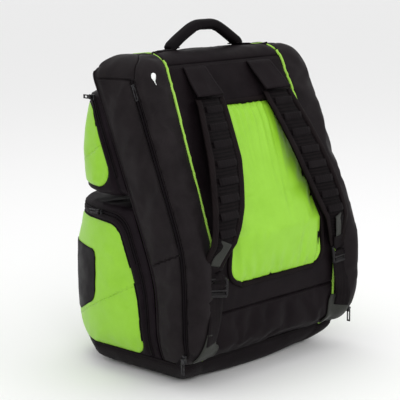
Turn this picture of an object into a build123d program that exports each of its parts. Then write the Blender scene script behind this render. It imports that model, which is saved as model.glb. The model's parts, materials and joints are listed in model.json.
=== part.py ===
from build123d import *
import math
import os

os.makedirs("parts", exist_ok=True)

# Racket backpack, standing on its base. Millimetres, +Z up.
# The back with its shoulder straps faces -Y and leans back towards the ground; pockets face +Y.

# ---- driving dimensions ------------------------------------------------------------------
CLR = 0.3            # gap kept between two separate pieces
SKIN = 3.0           # padded fabric wall
TOP_Z = 524.0        # top of the body, below the handle
SEAM_Z = 509.0       # seam between back panel and top panel
BACK_Y = -15.0       # back surface at SEAM_Z
ORIGIN_Y = 14.6      # the origin is moved here, the middle of the finished bag
SLOPE = 0.43         # lean of the back, Y per Z
HEEL_R = 157.0       # rounding from the back into the base
SAG = 8.0            # heel circle reaches this far below the flat base
FRONT_Y = 190.0      # front of the lower pocket
TOE_R = 92.0         # rounding from the front into the base
DEPTH = 100.0        # racket compartment, square to the back
W_TOP, W_LOW = 203.0, 209.0      # half width at SEAM_Z and at the ground
P_TOP, P_MID, P_LOW = 140.0, 159.5, 148.0   # half distance between the green pipings
P_MID_Z = 235.0
TOP_CORNER_R, LOW_CORNER_R = 45.0, 62.0
HEEL_A, HEEL_B = 30.0, 40.0      # elliptical corners of the heel, across and fore-aft
VALLEY_X, VALLEY_Y = 178.0, -131.0   # the heel is sunk to this Y between the two side sections
BASE_Z = 40.0        # seam between walls and base panel
STRIP_V, SIDE_ZIP_W = 12.0, 8.0  # side zip: distance from the back, chain width
ZIP_W = 5.0          # pocket zip chain
DOOR_V = 88.0        # front edge of each racket door
DOOR_TOP, DOOR_LOW = 488.0, 200.0   # door ends, measured at its hinge line
POCKET_INSET = 4.0   # pocket mouth tucked inside its lid, so the lid's walls pass outside it

LEAN = math.atan(SLOPE)
COS, SIN = math.cos(LEAN), math.sin(LEAN)
BIG = 400.0

# lower pocket: mouth, lid and fold line
LP_TOP, LP_ZIP_V, LP_ZIP_TOP, LP_GREEN_V, LP_GREEN_TOP = 282.0, 118.0, 266.0, 140.0, 254.0
LP_FOLD_Y, LP_FOLD_Z, LP_ZIP_END_Z = 187.0, 60.0, 168.0
LP_ELL_A, LP_ELL_B = 97.0, 195.0
# upper pocket
UP_TOP, UP_LOW, UP_ZIP_V, UP_ZIP_TOP, UP_GREEN_V, UP_GREEN_TOP = 463.0, 300.0, 110.0, 452.0, 125.0, 444.0
UP_FRONT = 150.0
UP_FOLD_Y, UP_FOLD_Z, UP_ZIP_END_Z = 150.2, 326.0, 384.0
UP_ELL_A, UP_ELL_B = 75.0, 105.0


# ---- helpers -----------------------------------------------------------------------------
def save(name, shape):
    """Write one physical piece as one STEP file."""
    shape = Pos(0, -ORIGIN_Y, 0) * shape
    solids = shape.solids()
    shape = solids[0] if len(solids) == 1 else Compound(children=list(solids))
    shape.label = name
    export_step(shape, "parts/" + name + ".step")
    return shape


def rounded(points, radii):
    """Polygon face with a radius at chosen corners."""
    face = make_face(Polyline(*points, close=True))
    for (px, py), r in radii:
        near = min(face.vertices(), key=lambda q: math.hypot(q.X - px, q.Y - py))
        face = fillet(near, r)
    return face


def side_prism(points, radii=(), half=BIG):
    """A (Y, Z) outline made solid along X."""
    return extrude(Plane.YZ * rounded(points, radii), amount=half, both=True)


def back_prism(points, radii=(), half=BIG):
    """An (X, Z) outline made solid along Y."""
    return extrude(Plane.XZ * rounded(points, radii), amount=half, both=True)


def plan_prism(points, radii=()):
    """An (X, Y) outline made solid along Z."""
    return extrude(rounded(points, radii), amount=700.0, both=True)


def leaning_y(z, v):
    """Y of the plane parallel to the back, v in front of it."""
    return BACK_Y + SLOPE * (z - SEAM_Z) + v / COS


def back_y(z):
    """Y of the outer back surface, heel rounding included."""
    zc = HEEL_R - SAG
    zt = zc + HEEL_R * SIN
    if z >= zt:
        return leaning_y(z, 0)
    yc = leaning_y(zt, 0) + HEEL_R * COS
    return yc - math.sqrt(HEEL_R ** 2 - (z - zc) ** 2)


def low_y(v):
    """Y where the leaning lines of the side walls turn upright near the base."""
    return BACK_Y - 118.0 + 0.80 * v


def bend_z(v):
    return SEAM_Z + (low_y(v) - BACK_Y - v / COS) / SLOPE


def half_w(z):
    return W_LOW + (W_TOP - W_LOW) * z / SEAM_Z


def half_p(z):
    if z < P_MID_Z:
        return P_LOW + (P_MID - P_LOW) * z / P_MID_Z
    return P_MID + (P_TOP - P_MID) * (z - P_MID_Z) / (SEAM_Z - P_MID_Z)


def piping_line(x, z0=-60.0, z1=700.0):
    return [(half_p(z) + x, z) for z in (z0, P_MID_Z, z1)]


def surface_y(z):
    """Y of the back's outer surface between the side sections."""
    return max(back_y(z), VALLEY_Y)


def ahead(v, top=700.0, r=0.0):
    """Everything in front of the seam line v and below top."""
    pts = [(low_y(v), -50), (low_y(v), bend_z(v)), (leaning_y(top, v), top), (BIG, top), (BIG, -50)]
    radii = [((low_y(v), bend_z(v)), 110.0)]
    if r:
        radii.append(((leaning_y(top, v), top), r))
    return side_prism(pts, radii)


def layer(z0, z1):
    return Pos(0, 0, (z0 + z1) / 2) * Box(2 * BIG, 2 * BIG, z1 - z0)


def between(x0, x1):
    """Slab between two lines that follow the right piping."""
    return back_prism(piping_line(x0) + piping_line(x1)[::-1])


def outline(t):
    """Body seen from the back, drawn in by t."""
    lo, hi = half_w(t) - t, half_w(TOP_Z - t) - t
    pts = [(-lo, t), (lo, t), (hi, TOP_Z - t), (-hi, TOP_Z - t)]
    radii = [((s * lo, t), LOW_CORNER_R - t) for s in (-1, 1)]
    radii += [((s * hi, TOP_Z - t), TOP_CORNER_R - t) for s in (-1, 1)]
    return back_prism(pts, radii)


def domed_plan(t, front, a, b):
    """Plan of a pocket: flat front, elliptical corners, rounded heel corners."""
    w, rear, ye = W_LOW + 2 - t, back_y(HEEL_R - SAG) + t, front - b
    yh = rear + HEEL_B - t
    hull = Pos(0, (yh + ye) / 2, 0) * Box(2 * w, ye - yh, 1400)
    for y_mid, y_far, ex, ey in ((yh, rear, HEEL_A - t, HEEL_B - t), (ye, front - t, a - t, b - t)):
        toward = 1 if y_far > y_mid else -1
        keep = Pos(0, y_mid + toward * 199.99, 0) * Box(2 * BIG, 400, 1400)
        hull += Pos(0, (y_mid + y_far) / 2 - toward * 3, 0) * Box(2 * (w - ex), abs(y_far - y_mid) + 6, 1400)
        corner = extrude(Ellipse(ex, ey), amount=700, both=True)
        for s in (-1, 1):
            hull += Pos(s * (w - ex), y_mid, 0) * corner & keep
    return hull


def meet(a, b, c):
    """Common part of three prisms, in whichever order the kernel can do it."""
    for first, second, third in ((a, b, c), (a, c, b), (b, c, a)):
        try:
            common = first & second & third
        except ValueError:
            continue
        if common.volume > 1e6:
            return common
    raise RuntimeError("prisms do not meet")


def valley(t):
    """Everything but the hollow behind the sunk heel."""
    keep = Pos(0, VALLEY_Y + t + BIG, 250) * Box(2 * BIG, 2 * BIG, 900)
    for s in (-1, 1):
        keep += Pos(s * (VALLEY_X + t + 100), 0, 250) * Box(200, 2 * BIG, 900)
    return keep


def whole(t):
    """Footprint hull of the entire bag up to the pockets, drawn in by t."""
    rear, low = leaning_y(t - SAG, t), t - SAG
    front = FRONT_Y - t
    profile = side_prism([(rear, low), (leaning_y(700, t), 700), (front, 700), (front, low)],
                         [((rear, low), HEEL_R - t), ((front, low), TOE_R - t)])
    return meet(profile, domed_plan(t, FRONT_Y, LP_ELL_A, LP_ELL_B), outline(t)) & valley(t)


def core(t):
    """Racket compartment hull, drawn in by t."""
    v1, top = DEPTH - t, TOP_Z - t
    pts = [(leaning_y(-50, t), -50), (leaning_y(top, t), top), (leaning_y(top, v1), top),
           (low_y(v1), bend_z(v1)), (low_y(v1), -50)]
    hull = side_prism(pts, [((leaning_y(top, v1), top), 26 - t), ((leaning_y(top, t), top), 40 - t)])
    return whole(t) & hull


def lower_hull(t):
    """Lower pocket, drawn in by t; open to the racket compartment's front wall."""
    y0 = leaning_y(LP_TOP, DEPTH)
    slab = side_prism([(-BIG, -50), (-BIG, LP_TOP - t), (y0, LP_TOP - t),
                       (FRONT_Y - 14 - t, LP_TOP - 6 - t), (FRONT_Y - t, 200), (FRONT_Y - t, -50)],
                      [((FRONT_Y - 14 - t, LP_TOP - 6 - t), 9)])
    return whole(t) & slab & ahead(DEPTH + CLR)


def upper_hull(t):
    """Upper pocket, drawn in by t."""
    f0, f1 = UP_FRONT - 16 - t, UP_FRONT - t
    pts = [(-BIG, UP_LOW + t), (-BIG, UP_TOP - t), (f0, UP_TOP - 7 - t), (f1, 365), (f1, UP_LOW + t)]
    slab = side_prism(pts, [((f0, UP_TOP - 7 - t), 14), ((f1, UP_LOW + t), 14)])
    return meet(slab, domed_plan(t, UP_FRONT, UP_ELL_A, UP_ELL_B), outline(t)) & ahead(DEPTH + CLR)


def above_fold(fold_y, fold_z, v, end_z, gap=0.0):
    """Half space above the fold of a pocket lid: from its hinge line back to the zip's end."""
    y1 = leaning_y(end_z, v)
    k = (end_z - fold_z) / (y1 - fold_y)
    zb = fold_z + k * (-BIG - fold_y) + gap
    zf = fold_z + k * (BIG - fold_y) + gap
    return side_prism([(-BIG, zb), (BIG, zf), (BIG, 900), (-BIG, 900)])


def mirror_pair(name, shape):
    """shape is the right-hand piece, +X; the left one is its mirror image."""
    save("right_" + name, shape)
    save("left_" + name, mirror(shape, about=Plane.YZ))


# ---- body walls --------------------------------------------------------------------------
core_wall = core(0) - core(SKIN)
above_base = layer(BASE_Z + CLR, 700)
right_edge = piping_line(-2.8)
middle = back_prism(right_edge + [(-x, z) for x, z in right_edge[::-1]])
front_edge = ahead(DOOR_V)
back_skin = (core_wall & middle) - ahead(40)

save("base_panel", (whole(0) - whole(SKIN)) & layer(-10, BASE_Z))
save("back_panel", back_skin & layer(120 + CLR, SEAM_Z))
save("lower_back_panel", back_skin & layer(BASE_Z + CLR, 120))
save("top_panel", (core_wall & middle & layer(SEAM_Z + CLR, 700)) - front_edge)
save("front_panel", core_wall & above_base & ahead(DOOR_V + CLR))

# ---- inner stiffeners --------------------------------------------------------------------
t0 = SKIN + CLR
sheet = back_prism([(-128, 150), (128, 150), (120, 490), (-120, 490)])
save("frame_sheet", ((whole(t0) - whole(t0 + 2)) & sheet) - ahead(30))
save("base_board", Pos(0, 45, t0 + 1.5) * Box(250, 110, 3))

# ---- right and left walls of the racket compartment --------------------------------------
outer_x = between(2.8, 300)
side_layer = layer(BASE_Z + CLR, DOOR_TOP)
chain_v = STRIP_V + CLR
door_v = chain_v + SIDE_ZIP_W + CLR
side_wall = core_wall & outer_x
mirror_pair("back_strip", (side_wall & above_base) - ahead(STRIP_V))
mirror_pair("side_zip", (side_wall & side_layer & ahead(chain_v)) - ahead(chain_v + SIDE_ZIP_W))
below_door = side_prism([(-BIG, -50), (BIG, -50), (BIG, DOOR_LOW - SLOPE * (BIG - leaning_y(DOOR_LOW, DOOR_V))),
                         (-BIG, DOOR_LOW + SLOPE * (BIG + leaning_y(DOOR_LOW, DOOR_V)))])
panel = (side_wall & layer(BASE_Z + CLR, DOOR_TOP - 2) & ahead(door_v)) - front_edge
mirror_pair("racket_door", panel - Pos(0, 0, CLR) * below_door)
mirror_pair("lower_side", panel & below_door)
mirror_pair("side_top", (side_wall & layer(DOOR_TOP + CLR, 700) & ahead(chain_v)) - front_edge)
cord = ((core(-2.5) - core(SKIN)) & between(-2.5, 2.5) & above_base) - front_edge
mirror_pair("piping", cord)

# racket symbol beside the left zip: an oval head and a short handle, flat on the strip
sym_z = 485.0
symbol = Cylinder(8, 0.9) + Pos(0, -13, 0) * Box(3.2, 13, 0.9)
tilt = Plane(origin=(-176, leaning_y(sym_z, -0.9), sym_z), x_dir=(1, 0, 0), z_dir=(0, -COS, SIN))
save("racket_symbol", tilt * symbol)

# ---- back padding ------------------------------------------------------------------------
pad_shape = back_prism([(-116, 166), (116, 166), (98, 438), (-98, 438)],
                       [((-116, 166), 26), ((116, 166), 26), ((-98, 438), 14), ((98, 438), 14)])
save("back_pad", ((whole(-5.5) - whole(-CLR)) & pad_shape) - ahead(30))

# ---- lower pocket ------------------------------------------------------------------------
lp_wall = (lower_hull(0) - lower_hull(SKIN)) & above_base
lp_mouth = (lower_hull(POCKET_INSET) - lower_hull(POCKET_INSET + SKIN)) & above_base
lp_chain = LP_ZIP_V + CLR
lp_edge = lp_chain + ZIP_W + CLR
lp_lid = ahead(lp_edge, LP_ZIP_TOP, 40) & above_fold(LP_FOLD_Y, LP_FOLD_Z, lp_edge, LP_ZIP_END_Z, CLR)
lp_fixed = ahead(lp_edge) - above_fold(LP_FOLD_Y, LP_FOLD_Z, lp_edge, LP_ZIP_END_Z)
lp_green = ahead(LP_GREEN_V, LP_GREEN_TOP, 34)
lp_black = ahead(LP_GREEN_V - CLR, LP_GREEN_TOP + CLR, 34 + CLR)
save("lower_lid_panel", lp_wall & lp_lid & lp_green)
save("lower_lid_band", (lp_wall & lp_lid) - lp_black)
save("lower_pocket_foot", lp_wall & lp_fixed & lp_green)
save("lower_pocket_gusset", (lp_wall & lp_fixed) - lp_black)
lp_zip_out = ahead(lp_chain, LP_ZIP_TOP + CLR + ZIP_W, 40 + CLR + ZIP_W)
save("lower_pocket_zip", (lp_mouth & lp_zip_out) - ahead(lp_edge - CLR, LP_ZIP_TOP + CLR, 40 + CLR))
save("lower_pocket_mouth", lp_mouth - ahead(LP_ZIP_V, LP_ZIP_TOP + ZIP_W + 2 * CLR, 40 + ZIP_W + 2 * CLR))
patch = back_prism([(-150, 88), (150, 88), (150, 206), (-150, 206)],
                   [((x, z), 16) for x in (-150, 150) for z in (88, 206)])
save("blank_patch", (whole(-1.5) - whole(-CLR)) & patch & layer(80, 220) & Pos(0, 200, 0) * Box(400, 300, 1200))

# ---- upper pocket ------------------------------------------------------------------------
up_wall = upper_hull(0) - upper_hull(SKIN)
up_mouth = upper_hull(POCKET_INSET) - upper_hull(POCKET_INSET + SKIN)
up_chain = UP_ZIP_V + CLR
up_edge = up_chain + ZIP_W + CLR
up_lid = ahead(up_edge, UP_ZIP_TOP, 8) & above_fold(UP_FOLD_Y, UP_FOLD_Z, up_edge, UP_ZIP_END_Z, CLR)
up_fixed = ahead(up_edge) - above_fold(UP_FOLD_Y, UP_FOLD_Z, up_edge, UP_ZIP_END_Z)
up_green = ahead(UP_GREEN_V, UP_GREEN_TOP, 22) & layer(UP_LOW + 10, 700)
up_black = ahead(UP_GREEN_V - CLR, UP_GREEN_TOP + CLR, 22 + CLR) & layer(UP_LOW + 10 - CLR, 700)
save("upper_lid_panel", up_wall & up_lid & up_green)
save("upper_lid_band", (up_wall & up_lid) - up_black)
save("upper_pocket_foot", up_wall & up_fixed & up_green)
save("upper_pocket_gusset", (up_wall & up_fixed) - up_black)
up_zip_out = ahead(up_chain, UP_ZIP_TOP + CLR + ZIP_W, 8 + CLR + ZIP_W)
save("upper_pocket_zip", (up_mouth & up_zip_out) - ahead(up_edge - CLR, UP_ZIP_TOP + CLR, 8 + CLR))
save("upper_pocket_mouth", up_mouth - ahead(UP_ZIP_V, UP_ZIP_TOP + ZIP_W + 2 * CLR, 8 + ZIP_W + 2 * CLR))

# ---- carry handle ------------------------------------------------------------------------
HANDLE_Y, HANDLE_X = 33.0, 80.0
GRIP_R, GRIP_RISE = 8.5, 41.0
foot_z = TOP_Z + 3.6 + GRIP_R
bow = [(-HANDLE_X, foot_z), (-15, TOP_Z + GRIP_RISE), (15, TOP_Z + GRIP_RISE), (HANDLE_X, foot_z)]
wire = FilletPolyline(*[(x, HANDLE_Y, z) for x, z in bow], radius=16)
grip = sweep(Plane(origin=wire @ 0, z_dir=wire % 0) * Circle(GRIP_R), path=wire)
for s in (-1, 1):
    grip += Pos(s * HANDLE_X, HANDLE_Y, foot_z) * Sphere(GRIP_R)
save("handle_grip", grip)
anchor = Pos(90, HANDLE_Y, TOP_Z + CLR + 1.3) * Box(34, 28, 2.6)
save("handle_anchors", Compound(children=[anchor, mirror(anchor, about=Plane.YZ)]))

# ---- shoulder straps ---------------------------------------------------------------------
# (z, stand-off of the outer face from the back, inner edge x, outer edge x)
PAD = [(450, 15, 53, 115), (430, 23, 54, 119), (400, 30, 60, 127), (360, 35, 68, 139), (325, 37, 80, 151),
       (290, 37, 94, 163), (262, 34, 110, 171), (238, 29, 127, 174), (212, 17, 140, 174), (188, 12.5, 144, 172)]
PAD_T = 10.0
STRAP_X, LOCK_Z = 159.0, 173.0   # centre of the lower webbing, height of the buckle


def strip(rows, thick):
    """Strip following the back at given stand-offs, cut to the given edges."""
    far = [(surface_y(z) - s, z) for z, s, a, b in rows]
    near = [(y + thick, z) for y, z in reversed(far)]
    inner = [(a, z) for z, s, a, b in rows]
    outer = [(b, z) for z, s, a, b in reversed(rows)]
    return side_prism(far + near) & back_prism(inner + outer)


x0, x1 = STRAP_X - 14.0, STRAP_X + 14.0
mirror_pair("strap_pad", strip(PAD, PAD_T))
mirror_pair("strap_tab", strip([(238, 30.8, 143, 165), (212, 18.8, 147, 168), (204, 17.3, 148, 168)], 1.2))
mirror_pair("strap_webbing", strip([(157, 11, x0, x1), (140, 10, x0, x1), (120, 8, x0, x1), (98, 6.5, x0, x1)], 2.0))
lock = Box(38, 5.5, 28) - Pos(0, 0, 7) * Box(30, 20, 4.5) - Pos(0, 0, -7) * Box(30, 20, 4.5)
mirror_pair("ladder_lock", Pos(STRAP_X, surface_y(LOCK_Z) - 10, LOCK_Z) * lock)
yoke = back_prism([(50, 453), (118, 453), (116, 500), (52, 500)], [((50, 453), 4), ((118, 453), 4)])
mirror_pair("strap_yoke", ((whole(-3.0) - whole(-CLR)) & yoke) - ahead(30))
anchor_tab = back_prism([(x0 - 1, 97.5), (x1 + 1, 97.5), (175, 52), (x0 - 14, 46)])
mirror_pair("strap_anchor", ((whole(-5.3) - whole(-2.8)) & anchor_tab) - ahead(60))


# ---- zip sliders and pulls ---------------------------------------------------------------
def slider(width=7.4):
    """Slider with its bridge: X away from the fabric, Y across the chain, Z along it."""
    body = Pos(1.5, 0, 0) * Box(2.6, width, 12)
    posts = [Pos(4.4, s * 3.1, 0) * Box(3.4, 1.2, 3.4) for s in (-1, 1)]
    bar = Pos(5.0, 0, 0) * Rot(90, 0, 0) * Cylinder(0.8, 7.4)
    return body + posts[0] + posts[1] + bar


def pull(length=26.0):
    """Pull turning on the slider's bar, hanging towards -Z."""
    eye = Rot(90, 0, 0) * (Cylinder(1.95, 4.4) - Cylinder(1.1, 5))
    grip = Pos(0, 0, -length / 2 - 1) * Box(1.6, 6.6, length - 4)
    hole = Pos(0, 0, -length / 2 - 2) * Box(4, 3.0, length - 11)
    neck = Pos(0, 0, -2.9) * Box(1.6, 4.4, 2.4)
    return Pos(5.0, 0, 0) * (eye + neck + grip - hole)


def place(origin, out, along):
    return Plane(origin=origin, x_dir=out, z_dir=along)


side_tilt = (W_LOW - W_TOP) / SEAM_Z
zip_v = chain_v + SIDE_ZIP_W / 2
for sign, side in ((1, "right"), (-1, "left")):
    top_z = 480.0
    along = Vector(-sign * side_tilt, SLOPE, 1).normalized()
    out = Vector(sign, 0, side_tilt)
    top_place = place((sign * half_w(top_z), leaning_y(top_z, zip_v), top_z), out - along * out.dot(along), along)
    low_place = place((sign * half_w(60), low_y(zip_v), 60.0), (sign, 0, 0), (0, 0, 1))
    for spot, where in (("low", low_place), ("top", top_place)):
        save(side + "_" + spot + "_slider", where * slider())
        save(side + "_" + spot + "_pull", where * pull())

for name, y, z, length in (("lower", 72.0, LP_ZIP_TOP + 2.8, 22.0), ("upper", 88.0, UP_ZIP_TOP + 2.8, 17.0)):
    where = place((-half_w(z) - 0.6, y, z), (-1, 0, 0), (0, -1, 0))
    save(name + "_pocket_slider", where * slider())
    save(name + "_pocket_pull", where * pull(length))
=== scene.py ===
import json
import math

import bmesh
import bpy
import numpy as np
from mathutils import Matrix, Vector, noise
from mathutils.bvhtree import BVHTree
from mathutils.kdtree import KDTree


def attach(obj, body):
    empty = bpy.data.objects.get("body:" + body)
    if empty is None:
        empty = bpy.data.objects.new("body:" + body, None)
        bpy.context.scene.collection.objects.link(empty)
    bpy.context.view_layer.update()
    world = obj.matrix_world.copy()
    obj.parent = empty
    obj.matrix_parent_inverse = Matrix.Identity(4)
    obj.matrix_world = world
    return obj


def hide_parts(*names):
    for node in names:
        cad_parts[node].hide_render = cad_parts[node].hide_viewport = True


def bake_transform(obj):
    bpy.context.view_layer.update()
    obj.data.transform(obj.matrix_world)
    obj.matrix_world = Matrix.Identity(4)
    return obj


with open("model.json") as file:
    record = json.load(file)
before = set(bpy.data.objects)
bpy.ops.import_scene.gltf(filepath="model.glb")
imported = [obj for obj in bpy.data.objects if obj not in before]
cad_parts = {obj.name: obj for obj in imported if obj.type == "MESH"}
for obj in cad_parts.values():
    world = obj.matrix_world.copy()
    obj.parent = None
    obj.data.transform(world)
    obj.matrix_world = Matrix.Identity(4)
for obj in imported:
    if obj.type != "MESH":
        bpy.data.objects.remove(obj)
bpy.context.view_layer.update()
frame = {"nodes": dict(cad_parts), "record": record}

# ---- driving dimensions, in millimetres as in the CAD design -----------------------------
TOP_Z, SEAM_Z, BACK_Y, SLOPE = 524.0, 509.0, -15.0, 0.43
ORIGIN_Y, HEEL_R, SAG, DEPTH = 14.6, 157.0, 8.0, 100.0
FRONT_Y, TOE_R, BASE_Z, VALLEY_Y = 190.0, 92.0, 40.0, -130.0
CORNER_H, CORNER_IN = 100.0, 66.0       # rounding of the lower corners, up and across
UNDER_MID, UNDER_SIDE = 24.0, 36.0      # how far the underside rolls in, at the middle and more at the sides
LEAN = math.atan(SLOPE)
COS, SIN = math.cos(LEAN), math.sin(LEAN)


def vec(x, y, z):
    """Millimetres of the design to metres of the frame."""
    return Vector((x * 0.001, (y - ORIGIN_Y) * 0.001, z * 0.001))


def leaning(z, v):
    return BACK_Y + SLOPE * (z - SEAM_Z) + v / COS


def back_y(z):
    zc = HEEL_R - SAG
    zt = zc + HEEL_R * SIN
    if z >= zt:
        return leaning(z, 0)
    return leaning(zt, 0) + HEEL_R * COS - math.sqrt(max(HEEL_R ** 2 - (z - zc) ** 2, 0))


def rear_y(z):
    """Rear surface with its roundings into the top and the base."""
    if z > 499.7:
        return 17.9 - math.sqrt(max(1600 - (z - 484) ** 2, 0))
    y = back_y(z) + (44 * ((85 - z) / 85) ** 2 if z < 85 else 0)
    return (y - 151 + math.sqrt((y + 151) ** 2 + 36)) / 2 if z < 300 else y


def valley_y(z):
    return max(rear_y(z), VALLEY_Y) if z < 300 else rear_y(z)


def seam_y(v, z):
    """Seam line v in front of the back; it turns upright near the base."""
    a, b = leaning(z, v), BACK_Y - 118 + 0.8 * v
    return (a + b + math.sqrt((a - b) ** 2 + 14 ** 2)) / 2


def core_front(z):
    """Front wall; it rounds over into the top."""
    plain = seam_y(DEPTH, z) + 4 * min(max((z - 300) / 150, 0), 1)
    if z > 488:
        return min(plain, 60 + math.sqrt(max(35.5 ** 2 - (z - 488.5) ** 2, 0)))
    return plain


def half_w(z):
    return 205 + 4.5 * math.sin(math.pi * min(max(z + 20, 0) / 640, 1))


def out_w(z):
    """Half width with the rounded corners at the ground and at the top."""
    w = half_w(z)
    if z < CORNER_H:
        w -= CORNER_IN * (1 - math.sqrt(1 - ((CORNER_H - z) / CORNER_H) ** 2))
        return max(w, 125)
    if z > 479:
        return w - 45 + math.sqrt(max(45 ** 2 - (z - 479) ** 2, 0))
    return w


def half_p(z):
    """Half distance between the pipings."""
    return 148 + 11.5 * z / 235 if z < 235 else 159.5 - 19.5 * (z - 235) / (SEAM_Z - 235)


def pocket_front(z):
    roll = 22 * ((70 - z) / 70) ** 2 if z < 70 else 0
    if z < 84:
        return 98 + math.sqrt(TOE_R ** 2 - (84 - z) ** 2) - roll
    return FRONT_Y if z < 200 else FRONT_Y - 12 * (z - 200) / 76


def droop(x, y, z):
    """The top sinks a little towards the front."""
    return x, y, z - 8 * min(max((y - 25) / 70, 0), 1) * min(max((z - 468) / 50, 0), 1)


def resample(points, n):
    p = np.array(points, float)
    d = np.r_[0, np.cumsum(np.linalg.norm(np.diff(p, axis=0), axis=1))]
    s = np.linspace(0, d[-1], n)
    return np.stack([np.interp(s, d, p[:, k]) for k in range(p.shape[1])], 1)


def soften(rows):
    """Running mean down the rows, with the end rows repeated."""
    p = np.vstack([rows[:1]] * 2 + [rows] + [rows[-1:]] * 2)
    k = np.array([1, 2, 3, 2, 1]) / 9
    return np.stack([np.convolve(p[:, c], k, "valid") for c in range(rows.shape[1])], 1)


# ---- materials ---------------------------------------------------------------------------
class Shader:
    """A new material, with short ways to add nodes and to set or join their inputs."""

    def __init__(self, name):
        self.material = bpy.data.materials.new(name)
        self.material.use_nodes = True
        self.tree = self.material.node_tree
        self.surface = self.tree.nodes["Principled BSDF"]

    def set(self, node, **inputs):
        """Inputs by name, with _ for a space; another node's output is joined, anything else is set."""
        for key, value in inputs.items():
            socket = node.inputs[key.replace("_", " ")]
            if isinstance(value, bpy.types.NodeSocket):
                self.tree.links.new(value, socket)
            else:
                socket.default_value = value
        return node

    def add(self, kind, props=(), **inputs):
        node = self.tree.nodes.new("ShaderNode" + kind)
        for key, value in props:
            setattr(node, key, value)
        return self.set(node, **inputs)

    def worn(self, blend, dark, light, shine, matt):
        """Colour from dark to light and roughness from shine to matt, both following blend."""
        col = self.add("Mix", [("data_type", "RGBA")], A=(*dark, 1), B=(*light, 1), Factor=blend)
        r = self.add("MapRange", To_Min=shine, To_Max=matt, Value=blend)
        self.set(self.surface, Base_Color=col.outputs["Result"], Roughness=r.outputs["Result"])


def fabric(name, dark, light, pitch=0.0011, rough=0.62, sheen=0.35, bump=0.25, kind="weave", vary=0.5,
           tint=None, spec=0.045):
    """Woven cloth: crossed threads in colour and height, soft blotches, creases, a little sheen."""
    sh = Shader(name)
    at = sh.add("TexCoord").outputs["Object"]

    def wave(direction, scale):
        w = sh.add("TexWave", [("wave_type", "BANDS"), ("bands_direction", direction)], Vector=at,
                   Scale=scale,
                   Distortion=0.6, Detail=1.0, Detail_Scale=2.0)
        return w.outputs["Fac"]

    s = 0.314 / pitch       # scale at which a wave repeats once per pitch
    if kind == "weave":
        a, c = wave("Z", s), wave("DIAGONAL", s)
    elif kind == "rib":
        a, c = wave("Z", s), wave("X", s * 0.35)
    else:
        holes = sh.add("TexVoronoi", Vector=at, Scale=1.0 / pitch, Randomness=0.25)
        a, c = holes.outputs["Distance"], wave("Z", s * 0.5)
    threads = sh.add("Math", [("operation", "SUBTRACT" if kind == "mesh" else "MULTIPLY")])
    for socket, value in zip(threads.inputs, (a, c)):
        sh.tree.links.new(value, socket)
    height = threads.outputs[0]
    blotch = sh.add("TexNoise", Vector=at, Scale=26, Detail=6, Roughness=0.62)
    patchy = sh.add("MapRange", From_Min=0.32, From_Max=0.68, Value=blotch.outputs["Fac"])
    both = sh.add("Mix", [("data_type", "FLOAT")], Factor=vary, A=height, B=patchy.outputs["Result"])
    sh.worn(both.outputs["Result"], dark, light, rough - 0.07, rough + 0.09)
    crease = sh.add("TexNoise", Vector=at, Scale=55, Detail=4, Distortion=0.8)
    folds = sh.add("Bump", Strength=0.10, Distance=0.004, Height=crease.outputs["Fac"])
    weave = sh.add("Bump", Strength=bump, Distance=0.0004, Height=height, Normal=folds.outputs["Normal"])
    sh.set(sh.surface, Normal=weave.outputs["Normal"], Sheen_Weight=sheen, Sheen_Roughness=0.45,
           Sheen_Tint=(*(tint or light), 1), Specular_IOR_Level=spec)
    return sh.material


def hard(name, dark, light, rough, metal=0.0, scale=60.0, bump=0.12, spec=0.3):
    """Moulded plastic, painted metal or print: fine grain and worn patches."""
    sh = Shader(name)
    at = sh.add("TexCoord").outputs["Object"]
    wear = sh.add("TexNoise", Vector=at, Scale=scale, Detail=7)
    grain = sh.add("TexNoise", Vector=at, Scale=1600, Detail=2)
    blend = sh.add("MapRange", From_Min=0.38, From_Max=0.66, Value=wear.outputs["Fac"])
    sh.worn(blend.outputs["Result"], dark, light, rough - 0.08, rough + 0.12)
    fine = sh.add("Bump", Strength=bump, Distance=0.0002, Height=grain.outputs["Fac"])
    sh.set(sh.surface, Normal=fine.outputs["Normal"], Metallic=metal, Specular_IOR_Level=spec)
    return sh.material


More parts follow.
